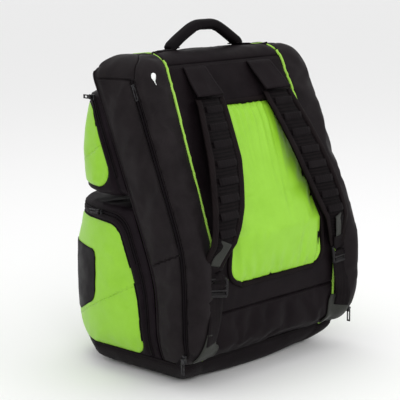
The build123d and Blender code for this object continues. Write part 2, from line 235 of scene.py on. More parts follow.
MAT = {
    "black_fabric": fabric("black_fabric", (0.0042, 0.0026, 0.0034), (0.0125, 0.0092, 0.0108), sheen=0.035,
                           rough=0.52),
    "side_fabric": fabric("side_fabric", (0.0080, 0.0062, 0.0070), (0.0215, 0.0178, 0.0192), sheen=0.05,
                          rough=0.48),
    "band_fabric": fabric("band_fabric", (0.0042, 0.0024, 0.0036), (0.0125, 0.0085, 0.0115), sheen=0.035,
                          rough=0.56),
    "lime_fabric": fabric("lime_fabric", (0.225, 0.495, 0.014), (0.292, 0.600, 0.040), sheen=0.12,
                          rough=0.42, bump=0.16,
                          tint=(0.6, 0.9, 0.3), spec=0.35),
    "lime_piping": fabric("lime_piping", (0.26, 0.50, 0.05), (0.37, 0.62, 0.12), pitch=0.0016, kind="rib",
                          sheen=0.1),
    "zip_tape": fabric("zip_tape", (0.0028, 0.0018, 0.0026), (0.0075, 0.0055, 0.0070), pitch=0.0008,
                       kind="rib",
                       sheen=0.03),
    "black_webbing": fabric("black_webbing", (0.0040, 0.0028, 0.0034), (0.0125, 0.0100, 0.0110), pitch=0.0022,
                            kind="rib", bump=0.5, sheen=0.05),
    "strap_mesh": fabric("strap_mesh", (0.0022, 0.0014, 0.0018), (0.0105, 0.0072, 0.0080), pitch=0.0026,
                         kind="mesh",
                         bump=0.7, sheen=0.03, vary=0.25),
    "strap_edge": fabric("strap_edge", (0.0042, 0.0026, 0.0030), (0.0130, 0.0092, 0.0098), pitch=0.0016,
                         kind="rib",
                         bump=0.4, sheen=0.05),
    "handle_fabric": fabric("handle_fabric", (0.0030, 0.0022, 0.0028), (0.0090, 0.0068, 0.0078), pitch=0.0013,
                            sheen=0.04),
    "grey_tab": fabric("grey_tab", (0.030, 0.031, 0.028), (0.047, 0.049, 0.044), pitch=0.0014, rough=0.45,
                       sheen=0.06),
    "thread": fabric("thread", (0.012, 0.010, 0.011), (0.030, 0.027, 0.028), pitch=0.0006, kind="rib",
                     sheen=0.1),
    "white_print": hard("white_print", (0.74, 0.76, 0.74), (0.86, 0.88, 0.87), 0.5),
    "patch_print": hard("patch_print", (0.0035, 0.0025, 0.0035), (0.008, 0.006, 0.008), 0.5, scale=30,
                        spec=0.06),
    "zip_metal": hard("zip_metal", (0.012, 0.011, 0.012), (0.050, 0.050, 0.053), 0.34, metal=0.7, scale=240),
    "black_plastic": hard("black_plastic", (0.0065, 0.0055, 0.0060), (0.016, 0.015, 0.016), 0.42, scale=90,
                          bump=0.3, spec=0.15),
    "stiffener": hard("stiffener", (0.04, 0.04, 0.04), (0.07, 0.07, 0.07), 0.55, scale=35),
}


# ---- mesh helpers ------------------------------------------------------------------------
def obj_from(name, verts, faces, mat, smooth=True):
    me = bpy.data.meshes.new(name)
    me.from_pydata([tuple(v) for v in verts], [], faces)
    me.update()
    o = bpy.data.objects.new(name, me)
    bpy.context.scene.collection.objects.link(o)
    me.materials.append(MAT[mat])
    if smooth:
        me.polygons.foreach_set("use_smooth", [True] * len(me.polygons))
    return o


def finish_mesh(o):
    """Applies the modifiers, so the piece is plain geometry."""
    bpy.context.view_layer.update()
    ev = o.evaluated_get(bpy.context.evaluated_depsgraph_get())
    me = bpy.data.meshes.new_from_object(ev)
    old = o.data
    o.modifiers.clear()
    o.data = me
    me.name = o.name
    if old.users == 0:
        bpy.data.meshes.remove(old)
    return o


def give(o, body, slot, *nodes):
    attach(o, body)
    if nodes:
        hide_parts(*nodes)
    return o


def thicken(o, thick, offset=0.0):
    """Gives an open sheet its thickness."""
    s = o.modifiers.new("thick", "SOLIDIFY")
    s.thickness, s.offset, s.use_even_offset = thick, offset, False
    return finish_mesh(o)


def sheet(name, rows, mat, thick):
    """Thin cloth over a grid of equally long rows of points."""
    n = len(rows[0])
    starts = [i * n + k for i in range(len(rows) - 1) for k in range(n - 1)]
    faces = [(a, a + 1, a + n + 1, a + n) for a in starts]
    return thicken(obj_from(name, [q for r in rows for q in r], faces, mat), thick)


def solid(name, rings, mat):
    """Closed skin over equally long rings of points, with a cap at each end."""
    m, n = len(rings[0]), len(rings)
    faces = []
    for i in range(n - 1):
        for k in range(m):
            a, b = i * m + k, i * m + (k + 1) % m
            faces.append((a, b, b + m, a + m))
    faces += [tuple(range(m))[::-1], tuple(range(n * m - m, n * m))]
    o = obj_from(name, [q for r in rings for q in r], faces, mat)
    bm = bmesh.new()
    bm.from_mesh(o.data)
    bmesh.ops.recalc_face_normals(bm, faces=bm.faces)
    bm.to_mesh(o.data)
    bm.free()
    return o


def heading(p, i):
    """Direction of the path p at point i."""
    return (p[min(i + 1, len(p) - 1)] - p[max(i - 1, 0)]).normalized()


def tube(name, path, radius, mat, sides=10, ridge=0.0, flat=1.0, normals=None):
    """Round cord along a path; ridge makes every second ring thicker."""
    p, rings = [Vector(q) for q in path], []
    for i, q in enumerate(p):
        d, nrm = heading(p, i), Vector(normals[i])
        nrm = (nrm - d * nrm.dot(d)).normalized()
        side = d.cross(nrm)
        r = radius * (1 + (ridge if i % 2 else 0))
        turns = [2 * math.pi * k / sides for k in range(sides)]
        rings.append([q + nrm * math.sin(a) * r * flat + side * math.cos(a) * r for a in turns])
    return solid(name, rings, mat)


def ribbon(name, path, normals, width, thick, mat, edge=0.35, crown=0.0, across=6):
    """Flat webbing or binding along a path, with rounded edges."""
    p, rings = [Vector(q) for q in path], []
    us = [-1 + 2 * k / across for k in range(across + 1)]
    prof = [(u, 0.5 + crown * (1 - u * u) - edge * abs(u) ** 6) for u in us]
    prof += [(u, -0.5 + edge * abs(u) ** 6) for u in us[::-1]]
    for i, q in enumerate(p):
        d, nrm = heading(p, i), Vector(normals[i])
        nrm = (nrm - d * nrm.dot(d)).normalized()
        side = d.cross(nrm)
        w = width[i] if hasattr(width, "__len__") else width
        rings.append([q + side * u * w / 2 + nrm * h * thick for u, h in prof])
    return solid(name, rings, mat)


def stitches(name, path, normals, mat="thread", pitch=0.0042, size=(0.0030, 0.00075, 0.0006), off=0.0):
    """A row of sewn threads lying on the cloth."""
    p = np.array([list(q) for q in path])
    nn = np.array([list(q) for q in normals])
    d = np.r_[0, np.cumsum(np.linalg.norm(np.diff(p, axis=0), axis=1))]
    count = max(int(d[-1] / pitch), 2)
    verts, faces = [], []
    for i in range(count):
        s = (i + 0.5) * d[-1] / count
        at = [Vector([np.interp(q, d, p[:, k]) for k in range(3)]) for q in (s - size[0] / 2,
                                                                             s + size[0] / 2)]
        n1 = Vector([np.interp(s, d, nn[:, k]) for k in range(3)]).normalized()
        run = (at[1] - at[0])
        if run.length < 1e-6:
            continue
        run.normalize()
        side = run.cross(n1).normalized()
        base = len(verts)
        mid = (at[0] + at[1]) / 2
        for j, (end, k1) in enumerate(((at[0], 0.55), (mid, 1.0), (at[1], 0.55))):
            for a in (0, 1, 2, 3):
                ang = math.pi / 4 + a * math.pi / 2
                verts.append(end + side * math.cos(ang) * size[1] * k1 * 0.7
                             + n1 * (math.sin(ang) * size[2] * k1 * 0.7 + off
                                     + (0 if j == 1 else -size[2] * 0.5)))
        for j in (0, 1):
            for a in range(4):
                q, r = base + 4 * j + a, base + 4 * j + (a + 1) % 4
                faces.append((q, q + 4, r + 4, r))
        faces.append((base, base + 1, base + 2, base + 3))
        faces.append((base + 11, base + 10, base + 9, base + 8))
    return obj_from(name, verts, faces, mat)


def run_cloth(o, pressure, shrink, frames):
    """Runs Blender's cloth on o, pinned by its group, and gives the last frame's points."""
    scene = bpy.context.scene
    c = o.modifiers.new("cloth", "CLOTH")
    st = c.settings
    st.quality, st.mass, st.air_damping = 5, 0.25, 4.0
    st.tension_stiffness = st.compression_stiffness = 18
    st.shear_stiffness, st.bending_stiffness = 8, 1.2
    st.vertex_group_mass = "pin"
    st.use_pressure, st.uniform_pressure_force = True, pressure
    st.shrink_min = -shrink
    st.effector_weights.gravity = 0.0
    c.collision_settings.use_collision = False
    c.point_cache.frame_start, c.point_cache.frame_end = 1, frames
    for f in range(1, frames + 1):
        scene.frame_set(f)
    ev = o.evaluated_get(bpy.context.evaluated_depsgraph_get())
    co = np.zeros(len(ev.data.vertices) * 3, np.float32)
    ev.data.vertices.foreach_get("co", co)
    scene.frame_set(1)
    o.modifiers.clear()
    return co.reshape(-1, 3).astype(float)


SAME = {"foot": "panel", "gusset": "band"}      # regions with no seam between them


class Skin:
    """A sewn outer surface: a grid with a region name for each face, cut along its seams."""

    def __init__(self):
        self.bm = bmesh.new()
        self.region = self.bm.faces.layers.int.new("region")
        self.names = []

    def rid(self, name):
        if name not in self.names:
            self.names.append(name)
        return self.names.index(name)

    def grid(self, rows, label, wrap=False):
        """rows: list of equally long point lists; label(i, j) names the face."""
        bm, vs = self.bm, []
        rows = [[droop(*p) for p in r] for r in rows]
        for r in rows:
            vs.append([bm.verts.new(vec(*p)) for p in r])
        n = len(rows[0])
        for i in range(len(rows) - 1):
            for j in range(n if wrap else n - 1):
                k = (j + 1) % n
                try:
                    f = bm.faces.new((vs[i][j], vs[i][k], vs[i + 1][k], vs[i + 1][j]))
                except ValueError:
                    continue
                f[self.region] = self.rid(label(i, j))
        return vs

    def weld(self):
        bmesh.ops.remove_doubles(self.bm, verts=self.bm.verts, dist=0.00008)
        bmesh.ops.dissolve_degenerate(self.bm, dist=0.00005, edges=self.bm.edges)
        bmesh.ops.recalc_face_normals(self.bm, faces=self.bm.faces)

    def close(self, name, picked):
        """Fills the hole whose edges picked(height) chooses, as region name."""
        rim = [e for e in self.bm.edges if e.is_boundary and picked(e.verts[0].co.z)]
        if rim:
            for f in bmesh.ops.holes_fill(self.bm, edges=rim, sides=400)["faces"]:
                f[self.region] = self.rid(name)

    def around(self, v):
        """Regions that meet at the vertex v."""
        names = [self.names[f[self.region]] for f in v.link_faces]
        return {self.rid(SAME.get(n, n)) for n in names}

    def tree_of(self, indices):
        tree = KDTree(len(indices))
        for i, k in enumerate(indices):
            tree.insert(self.bm.verts[k].co, i)
        tree.balance()
        return tree

    def cut(self, planes, source, inside):
        """Faces of source inside all planes (point, inward normal; mm) become the region inside."""
        src = [self.rid(s) for s in source]
        for point, nrm in planes:
            geom = [f for f in self.bm.faces if f[self.region] in src]
            geom += list({e for f in geom for e in f.edges}) + list({v for f in geom for v in f.verts})
            bmesh.ops.bisect_plane(self.bm, geom=geom, dist=0.00002, plane_co=vec(*point),
                                   plane_no=Vector(nrm))
        dst = self.rid(inside)
        pl = [(vec(*p), Vector(q).normalized()) for p, q in planes]
        for f in self.bm.faces:
            if f[self.region] in src:
                c = f.calc_center_median()
                if all((c - p).dot(q) > 0 for p, q in pl):
                    f[self.region] = dst

    def shape(self, recipe, default=(0.0035, 0.030, 0.0022), wrinkle=0.0005, seed=0.0):
        """Pads out each region between its seams and adds soft wrinkles."""
        bm = self.bm
        bm.normal_update()
        bm.verts.ensure_lookup_table()
        seam, vregion = [], []
        for v in bm.verts:
            regs = self.around(v)
            vregion.append(min(regs) if regs else 0)
            if len(regs) > 1 or any(e.is_boundary for e in v.link_edges):
                seam.append(v.index)
        tree, seam_set = self.tree_of(seam), set(seam)
        move = []
        for v in bm.verts:
            name = self.names[vregion[v.index]]
            puff, reach, groove = recipe.get(name, default)
            d = 0.0 if v.index in seam_set else tree.find(v.co)[2]
            up = puff * (1 - math.exp(-(d / reach) ** 1.3))
            dip = -groove * math.exp(-(d / 0.0030) ** 2)
            broad, small = v.co * 16 + Vector((seed, 0, 0)), v.co * 45 + Vector((0, seed, 0))
            w = noise.noise(broad) * 1.6 + noise.noise(small)
            long = Vector((v.co.x * 20, v.co.y * 24 + v.co.z * 6, v.co.z * 7 + seed))
            w += 2.2 * (1 - 2 * abs(noise.noise(long))) - 1.4
            w *= wrinkle * min(d / 0.02, 1)
            move.append(v.normal * (up + dip + w))
        for v, mv in zip(bm.verts, move):
            v.co += mv

    def cloth(self, pressure, shrink, loose, frames=14, cap=0.007, grip=0.004):
        """Blows up the named regions like sewn cloth: pinned along the seams, cut a little too large."""
        bm = self.bm
        bm.verts.ensure_lookup_table()
        ids = {self.rid(n) for n in loose}
        seam, free = [], []
        for v in bm.verts:
            regs = self.around(v)
            inside = len(regs) == 1 and regs <= ids and not any(e.is_boundary for e in v.link_edges)
            (free if inside else seam).append(v.index)
        tree = self.tree_of(seam)
        me = bpy.data.meshes.new("cloth_tmp")
        bm.to_mesh(me)
        o = bpy.data.objects.new("cloth_tmp", me)
        bpy.context.scene.collection.objects.link(o)
        g = o.vertex_groups.new(name="pin")
        g.add(seam, 1.0, "REPLACE")
        near = [k for k in free if tree.find(bm.verts[k].co)[2] < grip]
        if near:
            g.add(near, 0.8, "REPLACE")
        before = np.array([list(v.co) for v in bm.verts])
        after = run_cloth(o, pressure, shrink, frames)
        move = after - before
        size = np.linalg.norm(move, axis=1)
        move *= (np.minimum(size, cap) / np.maximum(size, 1e-9))[:, None]
        for k in free:
            bm.verts[k].co += Vector(move[k])
        bpy.data.objects.remove(o)
        bpy.data.meshes.remove(me)

    def tree(self):
        return BVHTree.FromBMesh(self.bm)

    def piece(self, region, name, mat, thick=0.0026):
        keep = self.names.index(region)
        bm = self.bm.copy()
        lay = bm.faces.layers.int["region"]
        bmesh.ops.delete(bm, geom=[f for f in bm.faces if f[lay] != keep], context="FACES")
        me = bpy.data.meshes.new(name)
        bm.to_mesh(me)
        bm.free()
        o = bpy.data.objects.new(name, me)
        bpy.context.scene.collection.objects.link(o)
        me.materials.append(MAT[mat])
        me.polygons.foreach_set("use_smooth", [True] * len(me.polygons))
        return thicken(o, thick, -1)


def ahead(pts):
    """Half spaces (mm) whose common part lies in front of a convex line of (y, z) points, upwards."""
    planes = []
    for (y0, z0), (y1, z1) in zip(pts, pts[1:]):
        planes.append(((0, y0, z0), (0, z1 - z0, -(y1 - y0))))
    return planes


def lid_line(v, top, r, z0=20.0):
    """Seam line v from the base up, rounded with radius r into the horizontal line at height top."""
    pts = [(seam_y(v, z), z) for z in np.linspace(z0, top, 60)]
    cy, cz = seam_y(v, top) + r * (1 - SIN) / COS, top - r
    arc = []
    for k in range(9):
        a = math.pi - LEAN - (math.pi / 2 - LEAN) * k / 8
        arc.append((cy + r * math.cos(a), cz + r * math.sin(a)))
    low = [p for p in pts if p[1] < arc[0][1] - 4]
    low = [low[0]] + low[6:-1:6]
    return low + arc + [(cy + 60, top)]


# ---- racket compartment ------------------------------------------------------------------
N_A, N_B, N_C1, N_C2, N_D, N_E = 26, 13, 3, 13, 5, 18


def core_half(z):
    """Right half of the loop at height z, from the middle of the back round to the front."""
    w, yr, yv, yf, hp = out_w(z), rear_y(z), valley_y(z), core_front(z), min(half_p(z), out_w(z) - 30)
    pts = [(hp * k / N_A, yv) for k in range(N_A)]
    lo = yr + 7
    y12 = min(max(seam_y(12, z), lo), yf - 16)
    y20 = min(max(seam_y(20.6, z), lo + 7), yf - 15)
    y88 = min(max(seam_y(88, z), lo + 12), yf - 6)
    d = w - hp
    p0, c1, c2, p3 = (hp, yv), (hp + 0.30 * d, yr - 5), (w + 3, yr - 8), (w, y12)
    for k in range(N_B):
        t = k / N_B
        a, b, c, e = (1 - t) ** 3, 3 * t * (1 - t) ** 2, 3 * t * t * (1 - t), t ** 3
        pts.append((a * p0[0] + b * c1[0] + c * c2[0] + e * p3[0],
                    a * p0[1] + b * c1[1] + c * c2[1] + e * p3[1]))
    pts += [(w, y12 + (y20 - y12) * k / N_C1) for k in range(N_C1)]
    pts += [(w, y20 + (y88 - y20) * k / N_C2) for k in range(N_C2)]
    r = max(min(yf - y88, 10), 1)
    for k in range(N_D):
        a = math.pi / 2 * k / N_D
        pts.append((w - 10 + 10 * math.cos(a), yf - r + r * math.sin(a)))
    pts += [((w - 10) * (1 - k / N_E), yf) for k in range(N_E + 1)]
    return pts


ZS = list(np.linspace(40, 120, 17)[:-1]) + list(np.linspace(120, 488, 74)[:-1])
ZS += [484 + 40 * math.sin(a) for a in np.linspace(math.asin(0.1), math.pi / 2 * 0.985, 15)]
ZS = sorted(set([round(z, 3) for z in ZS] + [488.0]))


def mirrored(half):
    return half + [(-x, y) for x, y in half[-2:0:-1]]


core = Skin()
n_half = len(core_half(100))
n_all = 2 * n_half - 2


def core_label(i, j):
    side = "right_" if j < n_half - 1 else "left_"
    k = j if j < n_half - 1 else n_all - 1 - j
    z = (ZS[i] + ZS[i + 1]) / 2 if i < len(ZS) - 1 else 524
    if k < N_A:
        return "top_panel" if z > SEAM_Z - 3 else "lower_back_panel" if z < 120 else "back_panel"
    k -= N_A
    if k < N_B:
        return side + "back_strip"
    k -= N_B
    if k < N_C1:
        return side + ("side_zip" if z < 488 else "side_top")
    k -= N_C1
    if k < N_C2:
        return side + ("racket_door" if z < 488 else "side_top")
    return "front_panel" if z < 504 else "top_panel"


rows = [[(x, y, z) for x, y in mirrored(core_half(z))] for z in ZS]
core.grid(rows, core_label, wrap=True)
rim = rows[-1]
cap = []
for s in np.linspace(0, 1, 13)[:-1]:
    cap.append([(x * (1 - s), 32.5 + (y - 32.5) * (1 - s), rim[0][2] + 0.6 * (1 - (1 - s) ** 2)) for x, y,
                z in rim])
core.grid(cap, lambda i, j: "top_panel", wrap=True)
core.weld()
core.close("top_panel", lambda height: height > 0.5)
core.weld()
for sgn, side in ((1, "right_"), (-1, "left_")):
    core.cut([((sgn * 139.0, 0, 0), (sgn, 0, 0)), ((0, 0, 503.0), (0, 0, 1))], ["top_panel"],
             side + "side_top")
    yh = leaning(200, 88)
    core.cut([((0, yh, 200), (0, -SLOPE, -1))], [side + "racket_door"], side + "lower_side")

# ---- pockets -----------------------------------------------------------------------------
# plan of each pocket: where its corner starts, the corner's half axes, and the full front
UP_FRONT = 150
LOW_PLAN, UP_PLAN = (-5, 97, 195, FRONT_Y), (45, 75, 105, UP_FRONT)


def c_half(z, v0, front, y_e, a, b, f0, inset=0.0, n=74):
    """Right half of a pocket's outline at height z, from its side seam to the middle of its front."""
    w, ys = out_w(z), seam_y(v0, z) - 2
    scale = (front - y_e) / (f0 - y_e)
    pts, cx = [], 212 - a
    for y in np.linspace(ys, f0, 400):
        x = w
        if y > y_e:
            x = min(w, cx + a * math.sqrt(max(1 - ((y - y_e) / b) ** 2, 0)))
        pts.append((x, y_e + (y - y_e) * scale if y > y_e else y))
    pts += [(cx * (1 - k / 60), pts[-1][1]) for k in range(61)]
    q = resample(pts, n)
    if inset:
        t = np.gradient(q, axis=0)
        t /= np.linalg.norm(t, axis=1)[:, None]
        q[:, 0] += -t[:, 1] * inset
        q[:, 1] += t[:, 0] * inset
        q[:, 1] = np.minimum(q[:, 1], front - inset)
        q[:, 0] = np.maximum(q[:, 0], 0)
    return [tuple(p) for p in q]


def low_loop(z, inset=0.0, n=74):
    return c_half(z, DEPTH, pocket_front(z), *LOW_PLAN, inset, n)


def up_front(z):
    return UP_FRONT if z < 365 else UP_FRONT - 15 * (z - 365) / 91


def up_loop(z, inset=0.0, n=74):
    return c_half(z, DEPTH, up_front(z), *UP_PLAN, inset, n)


def x_at(line, y):
    """Where a half outline crosses y."""
    return float(np.interp(y, [p[1] for p in line], [p[0] for p in line]))


def whole_line(half):
    return half + [(-x, y) for x, y in half[-2::-1]]


def pocket_skin(z_lo, z_hi, r_top, r_low, loop, step=5.0):
    """A pocket's whole outside, rounded over r_top at its top and r_low at its bottom (0: open)."""
    skin, lv = Skin(), []
    if r_low:
        turns = np.linspace(0, math.pi / 2, 6)[:-1]
        lv += [(z_lo + r_low * (1 - math.cos(a)), r_low * (1 - math.sin(a))) for a in turns]
    z0, z1 = z_lo + r_low, z_hi - r_top
    lv += [(z, 0.0) for z in np.linspace(z0, z1, int((z1 - z0) / step) + 1)]
    lv += [(z1 + r_top * math.sin(a), r_top * (1 - math.cos(a))) for a in np.linspace(0, math.pi / 2, 7)[1:]]
    rows = [[(x, y, z) for x, y in whole_line(loop(z, e))] for z, e in lv]
    skin.grid(rows, lambda i, j: "body")
    faces = [(rows[-1], z_hi, 1)] + ([(rows[0], z_lo, -1)] if r_low else [])
    for rim, z, up in faces:
        yw = seam_y(DEPTH, z)
        cap = []
        for s in np.linspace(0, 1, 15)[:-1]:
            cap.append([(x * (1 - s), yw + (y - yw) * (1 - s), z + up * 2.5 * math.sin(s * 1.5)) for x, y,
                        _ in rim])
        cap.append([(x * 0.03, yw + (y - yw) * 0.03, z + up * 2.5) for x, y, _ in rim])
        skin.grid(cap, lambda i, j: "body")
    skin.weld()
    return skin


lower = pocket_skin(BASE_Z, 282, 13, 0, low_loop)
upper = pocket_skin(300, 463, 13, 14, lambda z, e: up_loop(z, e, 64))


def fold_plane(fy, fz, v, end_z, up):
    y1 = leaning(end_z, v)
    k = (end_z - fz) / (y1 - fy)
    return ((0, fy, fz), (0, -k * up, up))


def low_corner(v, low, r, upright=False):
    """Half spaces that round the lower rear corner between seam line v and height low with radius r."""
    lean = 0 if upright else LEAN
    cy, cz = seam_y(v, low + r) + r / math.cos(lean), low + r
    planes = []
    for a in np.linspace(math.pi - lean, 1.5 * math.pi, 8):
        c, d = math.cos(a), math.sin(a)
        planes.append(((0, cy + r * c, cz + r * d), (0, -c, -d)))
    return planes


def sew_pocket(skin, pre, zv, top, gv, gtop, r1, r2, fold, end_z, low, r_low, upright):
    out_zip, in_zip = lid_line(zv, top + 5, r1 + 5), lid_line(zv + 5.6, top, r1)
    green = lid_line(gv, gtop, r2)
    skin.cut(ahead(out_zip), ["body"], "zip")
    skin.cut(ahead(in_zip), ["zip"], "band")
    skin.cut(ahead(green) + low_corner(gv, low, r_low, upright), ["band"], "panel")
    hinge = [fold_plane(*fold, zv + 5.6, end_z, -1)]
    skin.cut(hinge, ["panel"], "foot")
    skin.cut(hinge, ["band"], "gusset")
    return out_zip, in_zip, green


low_lines = sew_pocket(lower, "lower", 118, 266, 140, 254, 40, 34, (187, 60), 168,
                       low=41, r_low=24, upright=True)
up_lines = sew_pocket(upper, "upper", 110, 452, 125, 444, 16, 22, (150.2, 326), 384,
                      low=310, r_low=26, upright=False)

# ---- base --------------------------------------------------------------------------------
base = Skin()
LIFT = 0.1      # the base's flat stands this far clear of the ground


def base_half(z):
    """Right half of the base wall's outline: the base seam's own, rolled under towards the ground."""
    t = (BASE_Z - z) / BASE_Z
    roll = 0.5 * t * t + 0.5 * (1 - math.sqrt(max(1 - t * t, 0)))
    top, w0, w = core_half(BASE_Z)[:N_A + N_B + 1], out_w(BASE_Z), out_w(z)
    rear = []
    for x, y in top:
        x *= w / w0
        rear.append((x, y + roll * (UNDER_MID + UNDER_SIDE * (x / 170) ** 2)))
    y12 = rear[-1][1]
    front = low_loop(z, n=120)
    side = rear[-1:] + [p for p in front if p[1] > y12 + 2]
    return rear[:-1] + [tuple(p) for p in resample(side, 96)]


b_rows = []
for a in np.linspace(0, 1, 12):
    z = BASE_Z * (1 - math.sin(a * math.pi / 2)) + LIFT
    b_rows.append([(x, y, z) for x, y in mirrored(base_half(min(z, BASE_Z)))])
base.grid(b_rows, lambda i, j: "base", wrap=True)
rim = b_rows[-1]
yc = (min(p[1] for p in rim) + max(p[1] for p in rim)) / 2
b_cap = [[(x * (1 - s), yc + (y - yc) * (1 - s), LIFT) for x, y, _ in rim] for s in np.linspace(0, 0.97, 16)]
base.grid(b_cap, lambda i, j: "under", wrap=True)
base.weld()
base.close("under", lambda height: height < 0.02)

# ---- padding of the sewn surfaces --------------------------------------------------------
core.shape({
    "back_panel": (0.0015, 0.03, 0.0016), "lower_back_panel": (0.0045, 0.03, 0.002),
    "top_panel": (0.002, 0.03, 0.0016),
    "right_back_strip": (0.002, 0.022, 0.002), "left_back_strip": (0.002, 0.022, 0.002),
    "right_side_zip": (-0.0012, 0.004, 0.0005), "left_side_zip": (-0.0012, 0.004, 0.0005),
    "front_panel": (0.001, 0.03, 0.001),
}, default=(0.0042, 0.026, 0.0018), wrinkle=0.0007)
pocket_recipe = {"body": (-0.0010, 0.004, 0.001), "zip": (-0.0014, 0.004, 0.0014),
                 "band": (0.0018, 0.008, 0.0014),
                 "gusset": (0.0018, 0.008, 0.0014), "panel": (0.0050, 0.035, 0.0012),
                 "foot": (0.0030, 0.030, 0.0012)}
lower.shape(pocket_recipe, wrinkle=0.0006, seed=3.1)
upper.shape(pocket_recipe, wrinkle=0.0005, seed=8.4)
base.shape({"base": (0.0015, 0.02, 0.0014), "under": (0, 0.02, 0)}, wrinkle=0.0003, seed=5.0)
for v in base.bm.verts:
    v.co.z = max(v.co.z, LIFT * 0.001)

lower.cloth(2.2, 0.010, ["panel", "foot"], cap=0.006)
upper.cloth(2.2, 0.010, ["panel", "foot"], cap=0.005)
core.cloth(1.2, 0.012, ["right_racket_door", "left_racket_door", "right_lower_side", "left_lower_side",
                        "right_back_strip", "left_back_strip", "lower_back_panel"], frames=10, cap=0.005)

for region in ("top_panel", "back_panel", "lower_back_panel", "front_panel"):
    give(core.piece(region, "skin_" + region, "black_fabric"), "bag_shell", "black_fabric", region)
for side in ("right_", "left_"):
    give(core.piece(side + "back_strip", "skin_" + side + "back_strip", "side_fabric"), "bag_shell",
                   "black_fabric", side + "back_strip")
    give(core.piece(side + "side_zip", "tape_" + side + "side_zip", "zip_tape"), "bag_shell", "zip_tape",
         side + "side_zip")
    for part, body in (("lower_side", "bag_shell"), ("side_top", "bag_shell"),
                       ("racket_door", side + "door")):
        o = core.piece(side + part, "skin_" + side + part, "side_fabric")
        give(o, body, "black_fabric", side + part)
for skin, pre in ((lower, "lower"), (upper, "upper")):
    give(skin.piece("body", "skin_" + pre + "_mouth", "band_fabric"), "bag_shell", "black_fabric",
         pre + "_pocket_mouth")
    give(skin.piece("zip", "tape_" + pre + "_zip", "zip_tape"), "bag_shell", "zip_tape", pre + "_pocket_zip")
    give(skin.piece("band", "skin_" + pre + "_band", "band_fabric"), pre + "_lid", "black_fabric",
         pre + "_lid_band")
    o = skin.piece("panel", "skin_" + pre + "_panel", "lime_fabric")
    give(o, pre + "_lid", "lime_fabric", pre + "_lid_panel")
    o = skin.piece("foot", "skin_" + pre + "_foot", "lime_fabric")
    give(o, "bag_shell", "lime_fabric", pre + "_pocket_foot")
    give(skin.piece("gusset", "skin_" + pre + "_gusset", "band_fabric"), "bag_shell", "black_fabric",
         pre + "_pocket_gusset")
give(base.piece("base", "skin_base_wall", "black_fabric"), "bag_shell", "black_fabric", "base_panel")
give(base.piece("under", "skin_base_under", "black_fabric"), "bag_shell", "black_fabric")

TREES = {"core": core.tree(), "lower": lower.tree(), "upper": upper.tree(), "base": base.tree()}


# ---- places on the sewn surfaces ---------------------------------------------------------
def snap(points, key, off=0.0):
    """Nearest places on a surface, pushed out by off; returns places and outward normals."""
    at, nrm = [], []
    for p in points:
        co, n, _, _ = TREES[key].find_nearest(p)
        c = Vector((0, 0.02, co.z))
        if n.dot(co - c) < 0:
            n = -n
        at.append(co + n * off)
        nrm.append(n)
    sm = [sum((nrm[j] for j in range(max(0, i - 2), min(len(nrm), i + 3))), Vector()).normalized()
          for i in range(len(nrm))]
    return at, sm


def even(points, step):
    p = np.array([list(q) for q in points])
    length = np.linalg.norm(np.diff(p, axis=0), axis=1).sum()
    return [Vector(q) for q in resample(p, max(int(length / step), 2))]


def line_on(points, key, step, off=0.0):
    return snap(even([vec(*droop(*p)) for p in points], step), key, off)


def sew(name, points, key, body="bag_shell", slot="black_fabric", mat="thread", off=0.0003, **kw):
    at, nrm = line_on(points, key, 0.004, off)
    return give(stitches(name, at, nrm, mat=mat, **kw), body, slot)


def side_line(col, z0, z1, sgn, dy=0.0, n=120):
    """A seam column of the compartment's side, from z0 to z1."""
    pts = []
    for z in np.linspace(z0, z1, n):
        q = core_half(z)[col] if z >= 0.5 else (out_w(0.5), 0)
        pts.append((sgn * q[0], q[1] + dy, z))
    return pts


def pocket_line(yz, loop):
    """A side-view line run round the whole pocket; yz ends at its highest, level stretch."""
    half = []
    for y, z in yz:
        q = loop(z)
        if y < q[-1][1] - 1:
            half.append((x_at(q, y), y, z))
    z = yz[-1][1]
    q = [(x, y, z) for x, y in loop(z) if y > half[-1][1] + 1]
    half += q
    return half + [(-x, y, z) for x, y, z in half[-2::-1]]


def coil(name, points, key, body, slot, r=0.0021, off=0.0006):
    at, nrm = line_on(points, key, 0.0011, off)
    return give(tube(name, at, r, "zip_tape", sides=8, ridge=0.22, flat=0.6, normals=nrm), body, slot)


def welt(name, points, key, body, slot, mat="black_webbing", r=0.0013, off=0.0002):
    at, nrm = line_on(points, key, 0.004, off)
    return give(tube(name, at, r, mat, sides=8, normals=nrm), body, slot)


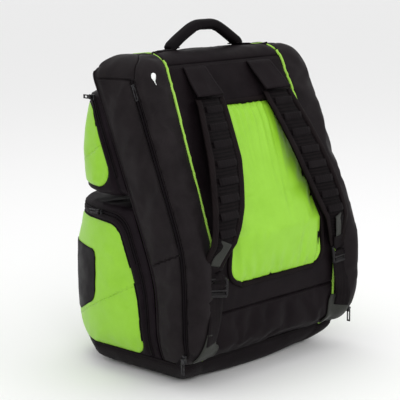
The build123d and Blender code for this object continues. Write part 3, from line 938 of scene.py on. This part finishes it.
# side zips, with a sewn welt along each edge
for sgn, side in ((1, "right"), (-1, "left")):
    c12, c20 = N_A + N_B, N_A + N_B + N_C1
    zip_pts = [((p[0] + q[0]) / 2, (p[1] + q[1]) / 2, p[2]) for p, q in
               zip(side_line(c12, 41, 487, sgn), side_line(c20, 41, 487, sgn))]
    coil("coil_" + side + "_side_zip", zip_pts, "core", "bag_shell", "zip_tape")
    welt("welt_" + side + "_rear", side_line(c12, 41, 488, sgn, -0.6), "core", "bag_shell", "black_fabric")
    welt("welt_" + side + "_front", side_line(c20, 42, 222, sgn, 0.9), "core", "bag_shell", "black_fabric")
    welt("welt_" + side + "_door", side_line(c20, 236, 486, sgn, 0.9), "core", side + "_door", "black_fabric")
    sew("seam_" + side + "_rear", side_line(c12, 44, 486, sgn, -4.0), "core")
    sew("seam_" + side + "_door", side_line(c20, 240, 484, sgn, 4.2), "core", body=side + "_door")
    c88 = N_A + N_B + N_C1 + N_C2
    sew("seam_" + side + "_hinge", side_line(c88, 215, 484, sgn, 3.0), "core")
    # piping over the back edge and the top
    pipe = [(sgn * half_p(z), rear_y(z) if z > 300 else valley_y(z), z) for z in np.linspace(41, 509, 100)]
    pipe += [(sgn * 139.5, 17.9 - 40 * math.cos(a), 484 + 40 * math.sin(a)) for a in np.linspace(0.72, 1.5,
                                                                                                 10)]
    pipe += [(sgn * 139.3, y, 524) for y in (26, 38, 50)]
    pipe += [(sgn * 139.0, 62 + 33 * math.sin(a), 490 + 33 * math.cos(a)) for a in np.linspace(0.1, 1.0, 7)]
    at, nrm = line_on(pipe, "core", 0.005, 0.0011)
    give(tube("cord_" + side + "_piping", at, 0.0024, "lime_piping", sides=12, normals=nrm), "bag_shell",
         "lime_piping", side + "_piping")
    lip = [(sgn * (abs(p[0]) + 3.6), p[1] + 1.0, p[2]) for p in pipe[:100]]
    sew("seam_" + side + "_piping", lip, "core")

# pocket zips
for pre, lines, loop, body in (("lower", low_lines, low_loop, "lower_lid"),
                               ("upper", up_lines, up_loop, "upper_lid")):
    out_zip, in_zip, green = lines
    top = in_zip[-1][1]
    mid = [((a[0] + b[0]) / 2, (a[1] + b[1]) / 2) for a, b in zip(out_zip, in_zip)]
    lo = 44 if pre == "lower" else 322
    mid = [p for p in mid if p[1] > lo]
    zp = pocket_line(mid, loop)
    coil("coil_" + pre + "_zip", zp, pre, "bag_shell", "zip_tape", r=0.0019, off=0.0004)
    end_z = 172 if pre == "lower" else 388
    for tag, src, dv, b in (("mouth", out_zip, -2.4, "bag_shell"), ("lid", in_zip, 2.4, body)):
        line = [(y + dv, z - (0 if z < top - 20 else dv * 0.9)) for y,
                z in src if z > (lo if tag == "mouth" else end_z)]
        sew("seam_" + pre + "_" + tag, pocket_line(line, loop), pre, body=b)
        welt("welt_" + pre + "_" + tag, pocket_line([(y - dv * 0.25, z) for y, z in line], loop), pre, b,
             "black_fabric", r=0.0011)
    gl = [p for p in green if p[1] > end_z - (2 if pre == "lower" else 4)]
    welt("welt_" + pre + "_green", pocket_line(gl, loop), pre, body, "black_fabric", r=0.0012)
    gl2 = [p for p in green if (66 if pre == "lower" else 338) < p[1] < end_z - 6]
    for sgn in (1, -1):
        pts = [(sgn * x_at(loop(z), y), y, z) for y, z in gl2]
        if len(pts) > 2:
            welt("welt_%s_green_%s" % (pre, "r" if sgn > 0 else "l"), pts, pre, "bag_shell",
                 "black_fabric", r=0.0012)

# seams of the back, top and base
for tag, z, dz in (("top", SEAM_Z, -4), ("top2", SEAM_Z, -8), ("low", 120, -4), ("low2", 120, 4)):
    w = half_p(z) - 8
    sew("seam_back_" + tag, [(x, valley_y(z + dz), z + dz) for x in np.linspace(-w, w, 40)], "core")
base_line = [(x, y, 40) for x, y in mirrored(base_half(40))] + [(0, base_half(40)[0][1], 40)]
at, nrm = line_on(base_line, "base", 0.005, 0.0002)
give(tube("welt_base", at, 0.0019, "black_webbing", sides=8, normals=nrm), "bag_shell", "black_fabric")
for dz in (-6, -9):
    sew("seam_base_%d" % -dz, [(x, y, 40 + dz) for x, y in mirrored(base_half(40 + dz))], "base")

# ---- back padding: lime cloth gathered at its top edge -----------------------------------
P_Z0, P_Z1 = 163.0, 438.0


def pad_half(z):
    w = 117 + (98 - 117) * (z - P_Z0) / (P_Z1 - P_Z0)
    for edge, r, up in ((P_Z0, 28, 1), (P_Z1, 12, -1)):
        d = (z - edge) * up
        if d < r:
            w -= r - math.sqrt(max(r * r - (r - d) ** 2, 0))
    return w


def pad_point(u, z):
    w = pad_half(z)
    x = u * w
    edge = min((1 - abs(u)) * w, z - P_Z0, P_Z1 - z)
    h = 2.0 + 6.0 * (1 - math.exp(-max(edge, 0) / 22.0))
    down = P_Z1 - z
    fan = x + 0.16 * down * (1 if x > -20 else 0.5)
    ph = 2 * math.pi * fan / 17.0 + 2.2 * noise.noise(Vector((fan * 0.03, down * 0.006, 4.0)))
    h += (1.5 * math.cos(ph) + 0.8 * math.cos(1.9 * ph
                                              + 1.0)) * math.exp(-(down / 62.0) ** 1.3) * min(down / 5, 1)
    up_ = z - P_Z0
    ph2 = 2 * math.pi * x / 23.0 + 1.5 * noise.noise(Vector((x * 0.02, up_ * 0.01, 9.0)))
    h += 0.8 * math.cos(ph2) * math.exp(-(up_ / 30.0) ** 1.4) * min(up_ / 6, 1)
    h += 2.6 * noise.noise(Vector((x * 0.011, z * 0.0055, 2.0))) * min(edge / 30, 1)
    h = max(h, 2.2)
    return (x, valley_y(z) - h * min(max(edge, 0) / 3 + 0.25, 1), z)


zr = list(np.linspace(P_Z0 + 0.2, P_Z0 + 30, 14)) + list(np.linspace(P_Z0 + 34, P_Z1 - 14, 62)) + \
    list(np.linspace(P_Z1 - 12, P_Z1 - 0.2, 8))
pad = Skin()
pad.grid([[pad_point(u, z) for u in np.linspace(-1, 1, 67)] for z in zr], lambda i, j: "pad")
pad.weld()
pad.cloth(1.6, 0.016, ["pad"], frames=14, cap=0.004, grip=0.003)
TREES["pad"] = pad.tree()
o = pad.piece("pad", "cushion_back_pad", "lime_fabric", thick=0.0018)
give(o, "bag_shell", "lime_fabric", "back_pad")


def pad_rim(grow):
    r = [(pad_half(z) + grow, z) for z in zr]
    bottom = [(x, P_Z0 - grow) for x in np.linspace(-pad_half(P_Z0 + 0.2), pad_half(P_Z0 + 0.2), 24)]
    top = [(x, P_Z1 + grow) for x in np.linspace(pad_half(P_Z1 - 0.2), -pad_half(P_Z1 - 0.2), 24)]
    ring = bottom + [(x, z) for x, z in r] + top + [(-x, z) for x, z in r[::-1]]
    return [vec(x, valley_y(z), z) for x,
            z in ring] + [vec(bottom[0][0], valley_y(bottom[0][1]), bottom[0][1])]


ring = even(pad_rim(3.0), 0.005)
at, nrm = snap(ring, "core", 0.0016)
give(ribbon("binding_back_pad", at, nrm, 0.0085, 0.0030, "strap_edge", crown=0.35), "bag_shell",
     "black_fabric")
at, nrm = snap(even(pad_rim(5.4), 0.004), "core", 0.0030)
give(stitches("seam_back_pad", at, nrm), "bag_shell", "black_fabric")

# ---- shoulder straps ---------------------------------------------------------------------
# (z, stand-off of the outer face, inner edge x, outer edge x); the left strap hangs looser
STRAP = {
    -1: [(452, 16, 47, 110), (440, 19, 48, 112), (425, 22, 51, 118), (400, 28, 58, 128), (360, 34, 66, 141),
         (325, 35, 79, 153), (290, 35, 94, 165), (262, 31, 110, 173), (238, 25, 127, 177),
         (212, 15, 140, 177),
         (196, 12, 146, 176), (189, 11, 149, 174)],
    1: [(452, 16, 58, 122), (440, 19, 58, 124), (425, 23, 60, 127), (400, 29, 62, 131), (360, 34, 69, 140),
        (325, 33, 77, 149), (290, 29, 90, 159), (262, 23, 104, 166), (238, 17, 117, 169), (212, 13, 129, 169),
        (196, 12, 134, 166), (189, 11, 138, 164)],
}

YOKE = {-1: (58, 108), 1: (46, 104)}      # inner and outer edge of each strap's patch at the top seam


def smooth_rows(sgn):
    """Rows down the strap: heights, and stand-off, inner and outer edge at each."""
    z, rows = np.linspace(452, 189, 84), np.array(STRAP[sgn][::-1], float)
    t = np.stack([np.interp(z, rows[:, 0], rows[:, c]) for c in (1, 2, 3)], 1)
    return z, soften(t)


def span(o, slot, body, start, end, *nodes):
    """Cloth that crosses from the bag to a strap's body."""
    if nodes:
        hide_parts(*nodes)
    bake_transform(o)


def strap_face(sgn, zi, row, u, h):
    """Point on the strap: u from inner edge -1 to outer edge 1, h above its middle."""
    s_, a_, b_ = row
    x = (a_ + b_) / 2 + u * (b_ - a_) / 2
    low = min(max((260 - zi) / 70, 0), 1) * (1 if sgn < 0 else 0.25)
    shift = 7 * low if sgn < 0 else 0
    y = valley_y(zi) - s_ + 5.0 - h
    y += -u * 1.5 + 3.0 * abs(u) ** 2.5 + low * u * 5
    return vec(sgn * (x + shift), y, zi)


for sgn, side in ((1, "right"), (-1, "left")):
    z, t = smooth_rows(sgn)
    body = side + "_strap"
    prof = []
    for u in np.linspace(-1, 1, 25):
        e = (1 - abs(u) ** 5) ** 0.5 if abs(u) < 1 else 0
        h = 4.6 * e
        h -= 1.3 * math.exp(-((abs(u) - 0.66) / 0.05) ** 2)
        prof.append((u, h))
    prof += [(u, -4.6 * (1 - abs(u) ** 5) ** 0.5) for u in np.linspace(1, -1, 15)[1:-1]]
    rings = []
    for zi, row in zip(z, t):
        ring = []
        for k, (u, h) in enumerate(prof):
            q = h
            if k < 25 and abs(u) < 0.6:
                q += 0.9 * math.cos(2 * math.pi * zi / 26.0) * (1 - (u / 0.6) ** 4) * 0.8
                q += 0.5 * noise.noise(Vector((u * 3, zi * 0.05, sgn)))
            ring.append(strap_face(sgn, zi, row, u, q))
        rings.append(ring)
    o = solid("pad_" + side + "_strap", rings, "strap_mesh")
    give(o, body, "strap_mesh", side + "_strap_pad")
    out_n = [Vector((0.10 * sgn, -0.95, 0.3)).normalized()] * len(z)
    for tag, u, w, off in (("in", -0.90, 0.0115, 4.1), ("out", 0.90, 0.0115, 4.1)):
        p = [strap_face(sgn, zi, row, u, off) for zi, row in zip(z, t)]
        give(ribbon("binding_%s_strap_%s" % (side, tag), p, out_n, w, 0.0032, "strap_edge", crown=0.3), body,
             "strap_mesh")
        p = [strap_face(sgn, zi, row, u * 0.86, 5.0) for zi, row in zip(z, t)]
        give(stitches("seam_%s_strap_%s" % (side, tag), p, out_n), body, "strap_mesh")
    # webbing bars sewn across the padding
    for j, zi in enumerate(range(436, 246, -26)):
        i = int(np.argmin(abs(z - zi)))
        p = [strap_face(sgn, z[i], t[i], u, 5.3) for u in np.linspace(-0.62, 0.62, 9)]
        give(ribbon("bar_%s_strap_%d" % (side, j), p, [out_n[0]] * 9, 0.0125, 0.0018, "black_webbing",
                    crown=0.2), body,
             "strap_mesh")
    # reflective tab and the webbing loop that holds the buckle
    zt = [(i, zi) for i, zi in enumerate(z) if 203 < zi < 244]
    p = [strap_face(sgn, zi, t[i], 0.0, 5.6) for i, zi in zt]
    give(ribbon("tab_" + side + "_strap", p, [out_n[0]] * len(p),
                [0.021 - 0.004 * k / len(p) for k in range(len(p))],
                0.0016, "grey_tab"), body, "grey_tab", side + "_strap_tab")
    lz = 172.0
    cx = 166.0 if sgn < 0 else 156.0
    twist = Vector((-0.26, -0.96, 0.10)).normalized() if sgn < 0 else Vector((0.05, -0.99, 0.10)).normalized()
    lock_c = vec(sgn * cx, valley_y(lz) - (19 if sgn < 0 else 9), lz)
    along = Vector((0.10 if sgn < 0 else -0.02, 0.02, 1)).normalized()
    along = (along - twist * along.dot(twist)).normalized()
    across = along.cross(twist)

    def lp(a, b, c):
        return lock_c + across * a * 0.001 + along * b * 0.001 + twist * c * 0.001

    last = strap_face(sgn, z[-1], t[-1], 0.0, 1.5)
    loop_p = [strap_face(sgn, z[-6], t[-6], 0.0, 5.4), strap_face(sgn, z[-2], t[-2], 0.0, 4.6),
              lp(0, 13.5, 3.0),
              lp(0, 10.5, 2.5)]
    give(ribbon("loop_" + side + "_strap", even(loop_p, 0.003), [twist] * len(even(loop_p, 0.003)), 0.027,
                0.0022,
                "black_webbing"), body, "black_webbing")
    # ladder-lock buckle
    bars = []
    for x in (-1, 1):
        bars.append(([lp(x * 17.2, b, 0.9 * math.cos(b / 14 * 1.4)) for b in np.linspace(-13.5, 13.5, 9)],
                     0.0026))
    for b, r, c in ((13.2, 0.0022, 0.6), (3.0, 0.0021, 1.6), (-4.6, 0.0021, 1.6), (-13.2, 0.0026, 0.8)):
        bars.append(([lp(a, b, c) for a in np.linspace(-17, 17, 9)], r))
    for k, (p, r) in enumerate(bars):
        o = tube("buckle_%s_%d" % (side, k), p, r, "black_plastic", sides=12, normals=[twist] * len(p))
        give(o, body, "black_plastic", *([side + "_ladder_lock"] if k == 0 else []))
    for k in range(5):
        p = [lp(a, -9.4 + k * 0.95 - 2.2, 2.3) for a in np.linspace(-13, 13, 5)]
        give(tube("rib_%s_%d" % (side, k), p, 0.0005, "black_plastic", sides=6, normals=[twist] * 5), body,
             "black_plastic")
    # lower webbing, from the buckle to the anchor on the side section
    ax = 172.0 if sgn < 0 else 158.0
    foot, fn_ = snap([vec(sgn * ax, rear_y(96) - 12, 94), vec(sgn * (ax - 1), rear_y(80) - 12, 78)],
                     "core", 0.0034)
    wp = [lp(0, 6.5, 2.6), lp(0, 2.6, 3.8), lp(0, -3.0, 1.2), lp(0, -9.0, -1.6), lp(0, -20, -1.5),
          foot[0] + (lp(0, -20, -1.5) - foot[0]) * 0.45 + fn_[0] * 0.002, foot[0], foot[1]]
    wp = even(wp, 0.003)
    nn = []
    for i, q in enumerate(wp):
        k = i / (len(wp) - 1)
        nn.append((twist * (1 - k) + fn_[1] * k).normalized())
    o = ribbon("webbing_" + side + "_strap", wp, nn, 0.0285, 0.0020, "black_webbing")
    span(o, "black_webbing", body, foot[0], lp(0, -10, 0), side + "_strap_webbing")
    # folded grey anchor tab at its foot
    rows = []
    for zi in np.linspace(99, 50, 14):
        k = (99 - zi) / 49
        a_, b_ = ax - 15.5 - 13 * k, ax + 15.5 + (4 if sgn < 0 else 14) * k
        pts = [vec(sgn * x, (rear_y(zi) if x > 178 else valley_y(zi)) - 6, zi) for x in np.linspace(a_, b_,
                                                                                                    12)]
        rows.append(snap(pts, "core", 0.0030 - 0.0008 * k)[0])
    o = sheet("anchor_" + side + "_strap", rows, "grey_tab", 0.0022)
    give(o, "bag_shell", "grey_tab", side + "_strap_anchor")
    # yoke patch above the strap
    rows = []
    for zi in np.linspace(503, 452, 16):
        e = min((503 - zi) / 6, 1) ** 0.5
        down = (503 - zi) / 51
        x0, x1 = YOKE[sgn][0] * (1 - down) + t[0][1] * down, YOKE[sgn][1] * (1 - down) + t[0][2] * down
        pts = [vec(sgn * x, rear_y(zi) - 4, zi) for x in np.linspace(x0 + 1.5 * (1 - e),
                                                                     x1 - 1.5 * (1 - e), 20)]
        at, _ = snap(pts, "core", 0.0012 + 0.0022 * e + 0.0118 * down ** 1.3)
        rows.append(at)
    o = sheet("yoke_" + side, rows, "black_fabric", 0.0026)
    hinge = vec(sgn * 85, rear_y(470), 470), vec(sgn * 85, rear_y(452) - 10, 452)
    span(o, "black_fabric", body, *hinge, side + "_strap_yoke")
    for tag, c in (("in", 1), ("out", 18)):
        p = [r[c] for r in rows]
        nr = [Vector((0, -0.92, 0.39))] * len(p)
        p = [q + n * 0.0016 for q, n in zip(p, nr)]
        span(stitches("seam_yoke_%s_%s" % (side, tag), p, nr), "black_fabric", body, *hinge)

# ---- carry handle ------------------------------------------------------------------------
GRIP_R, GRIP_WIDE = 0.0092, 1.28        # radius in metres, and how much wider it is from front to back
bow = [(-88, TOP_Z + 1), (-82, TOP_Z + 6), (-66, TOP_Z + 16), (-48, TOP_Z + 27), (-30, TOP_Z + 36.5),
       (-17, TOP_Z + 40), (17, TOP_Z + 40), (30, TOP_Z + 36.5), (48, TOP_Z + 27), (66, TOP_Z + 16),
       (82, TOP_Z + 6),
       (88, TOP_Z + 1)]
hp = even([vec(x, 33, z) for x, z in bow], 0.0022)
hp = [Vector(q) for q in soften(soften(soften(np.array([list(q) for q in hp]))))]
n_h = len(hp)
rings, M = [], 28
for i, q in enumerate(hp):
    d = heading(hp, i)
    side_v = Vector((0, 1, 0))
    up_v = d.cross(side_v).normalized()
    up_v = up_v if up_v.z > 0 else -up_v
    s_ = i / (n_h - 1)
    end = min(s_, 1 - s_)
    r = GRIP_R * (0.70 + 0.30 * min(end / 0.06, 1) ** 0.6)
    ring = []
    for j in range(M):
        a = 2 * math.pi * j / M
        rr = r * (1 - 0.06 * abs(math.cos(2 * a)))
        rr += 0.0007 * math.exp(-((a - 4.71) / 0.12) ** 2)
        bend = math.exp(-((abs(s_ - 0.5) - 0.12) / 0.05) ** 2)
        rr += (0.00045 * math.sin(i * 1.15) * bend * (0.5 - 0.5 * math.sin(a)))
        rr += 0.00045 * noise.noise(Vector((math.cos(a) * 2, math.sin(a) * 2, i * 0.09)))
        ring.append(q + side_v * math.cos(a) * rr * GRIP_WIDE + up_v * math.sin(a) * rr)
    rings.append(ring)
o = solid("grip_handle", rings, "handle_fabric")
give(o, "handle", "handle_fabric", "handle_grip")
for tag, off_y in (("a", -0.0094), ("b", 0.0094)):
    p = [q + Vector((0, off_y, 0.0035)) for q in hp[11:-11]]
    give(stitches("seam_handle_" + tag, p, [Vector((0, off_y, 0.003)).normalized()] * len(p)), "handle",
         "handle_fabric")
for sgn, tag in ((1, "r"), (-1, "l")):
    p, nr = snap([vec(sgn * x, 33, 526) for x in np.linspace(72, 106, 14)], "core", 0.0014)
    p = [q + Vector((0, 0, 0.0024 * math.exp(-((abs(q.x) * 1000 - 76) / 5) ** 2))) for q in p]
    give(ribbon("tongue_handle_" + tag, p, nr, 0.026, 0.0024, "black_webbing"), "bag_shell", "black_webbing",
         *(["handle_anchors"] if sgn > 0 else []))
    for x in (88, 101):
        q, nr = snap([vec(sgn * x, y, 526) for y in np.linspace(22.5, 43.5, 12)], "core", 0.0028)
        give(stitches("tack_handle_%s_%d" % (tag, x), q, nr, pitch=0.0016, size=(0.0014, 0.0016, 0.0006)),
             "bag_shell",
             "black_webbing")

# ---- plain patch on the lower pocket, racket symbol beside the left zip -------------------
PATCH_Y, PATCH_X = 80.0, 148.0      # the patch runs from here, round the left corner, to here on the right


def patch_line(z):
    """Outline of the lower pocket at height z, from round its left corner to the right end of the patch."""
    half = low_loop(z)
    first = x_at(half, PATCH_Y)
    left = [(-first, PATCH_Y)] + [(-x, y) for x, y in half if y > PATCH_Y + 0.5]
    last = float(np.interp(PATCH_X, [p[0] for p in half[::-1]], [p[1] for p in half[::-1]]))
    return resample(left + [(x, y) for x, y in half[::-1] if 0 < x < PATCH_X - 0.5] + [(PATCH_X, last)], 110)


cols, mid_line = [], patch_line(150)
length = np.linalg.norm(np.diff(mid_line, axis=0), axis=1).sum()
for k in range(110):
    e = min(k, 109 - k) / 109 * length
    cut_in = 14 - math.sqrt(max(196 - (14 - e) ** 2, 0)) if e < 14 else 0
    low_z = max(90, 67 + 108 * (187 - mid_line[k][1]) / 214) + cut_in
    cols.append(snap([vec(*patch_line(z)[k], z) for z in np.linspace(low_z, 204 - cut_in, 24)], "lower",
                     0.0007)[0])
o = sheet("patch_lower_pocket", cols, "patch_print", 0.0009)
give(o, "lower_lid", "patch_print", "blank_patch")

sz, sx, s_size = 489.0, 180.0, 0.68
sym = []
for a in np.linspace(0, 2 * math.pi, 40, endpoint=False):
    r = 8.2 * s_size * (1 - 0.10 * math.sin(a))
    sym.append((math.cos(a) * r * 1.05, math.sin(a) * r * 1.02 + 7))
v2, f2 = [], []
for s_ in (0.05, 0.35, 0.7, 1.0):
    q, _ = snap([vec(-(sx + x * s_), rear_y(sz) - 12 + SLOPE * (7 + (y - 7) * s_),
                     sz + 7 + (y - 7) * s_) for x, y in sym],
                "core", 0.0006)
    v2 += q
for i in range(3):
    for k in range(40):
        f2.append((i * 40 + k, i * 40 + (k + 1) % 40, (i + 1) * 40 + (k + 1) % 40, (i + 1) * 40 + k))
f2.append(tuple(range(40))[::-1])
base_i = len(v2)
for yy in np.linspace(3, -5, 8):
    ww = 0.9 if yy < 0 else 0.9 + yy * 0.5
    q, _ = snap([vec(-(sx + x), rear_y(sz) - 12 + SLOPE * yy, sz + yy) for x in (-ww, 0, ww)], "core", 0.0007)
    v2 += q
for i in range(7):
    for k in range(2):
        a = base_i + i * 3 + k
        f2.append((a, a + 1, a + 4, a + 3))
o = obj_from("print_racket_symbol", v2, f2, "white_print")
thicken(o, 0.0006)
give(o, "bag_shell", "white_print", "racket_symbol")

# ---- camera, light, floor ----------------------------------------------------------------
CAMERA_AT, CAMERA_BACK, LENS = (-1.7269, -1.5860, 0.7153), (-0.7176, -0.6706, 0.1880), 126.04
LIGHTS = {      # place, aimed at, size in metres, watts
    "key": ((-2.0, -2.4, 2.1), (0, 0, 0.3), (1.6, 1.4), 24),
    "fill": ((0.9, -2.6, 1.6), (0, 0, 0.25), (1.6, 1.2), 9),
    "top": ((0.2, 0.3, 2.6), (0, 0, 0.3), (1.8, 1.8), 12),
}
WORLD_LIGHT, FLOOR_HALF = 0.92, 30

cam = bpy.data.cameras.new("camera")
cam.sensor_width, cam.lens = 36.0, LENS
cam_o = bpy.data.objects.new("camera", cam)
bpy.context.scene.collection.objects.link(cam_o)
back = Vector(CAMERA_BACK).normalized()
right = Vector((0, 0, 1)).cross(back).normalized()
up = back.cross(right)
cam_o.matrix_world = Matrix.Translation(CAMERA_AT) @ Matrix((right, up, back)).transposed().to_4x4()
bpy.context.scene.camera = cam_o
bpy.context.scene.view_settings.view_transform = "Standard"

corners = [(x * FLOOR_HALF, y * FLOOR_HALF, 0) for x, y in ((-1, -1), (1, -1), (1, 1), (-1, 1))]
floor = obj_from("floor", corners, [(0, 1, 2, 3)], "white_print")
paper = Shader("floor_paper")
tone = paper.add("MapRange", To_Min=0.88, To_Max=0.92, Value=paper.add("TexNoise", Scale=3).outputs["Fac"])
paper.set(paper.surface, Base_Color=tone.outputs["Result"], Roughness=0.9)
floor.data.materials.clear()
floor.data.materials.append(paper.material)

world = bpy.data.worlds.new("studio")
bpy.context.scene.world = world
world.use_nodes = True
world.node_tree.nodes["Background"].inputs["Color"].default_value = (1, 1, 1, 1)
world.node_tree.nodes["Background"].inputs["Strength"].default_value = WORLD_LIGHT


def area(name, at, to, size, power):
    d = bpy.data.lights.new(name, "AREA")
    d.shape, d.size, d.size_y, d.energy = "RECTANGLE", size[0], size[1], power
    o = bpy.data.objects.new(name, d)
    bpy.context.scene.collection.objects.link(o)
    z = (Vector(at) - Vector(to)).normalized()
    x = Vector((0, 0, 1)).cross(z).normalized()
    o.matrix_world = Matrix.Translation(at) @ Matrix((x, z.cross(x), z)).transposed().to_4x4()
    return o


for name, light in LIGHTS.items():
    area(name, *light)

cad_material = {"frame_sheet": "stiffener", "base_board": "stiffener"}
for name, o in frame["nodes"].items():
    key = cad_material.get(name)
    if "slider" in name or name.endswith("pull"):
        key = "zip_metal"
    if key is None:
        key = next((s["material_slot"] for s in frame["record"]["subparts"] if s["node"] == name),
                   "black_fabric")
    o.data.materials.clear()
    o.data.materials.append(MAT[key])
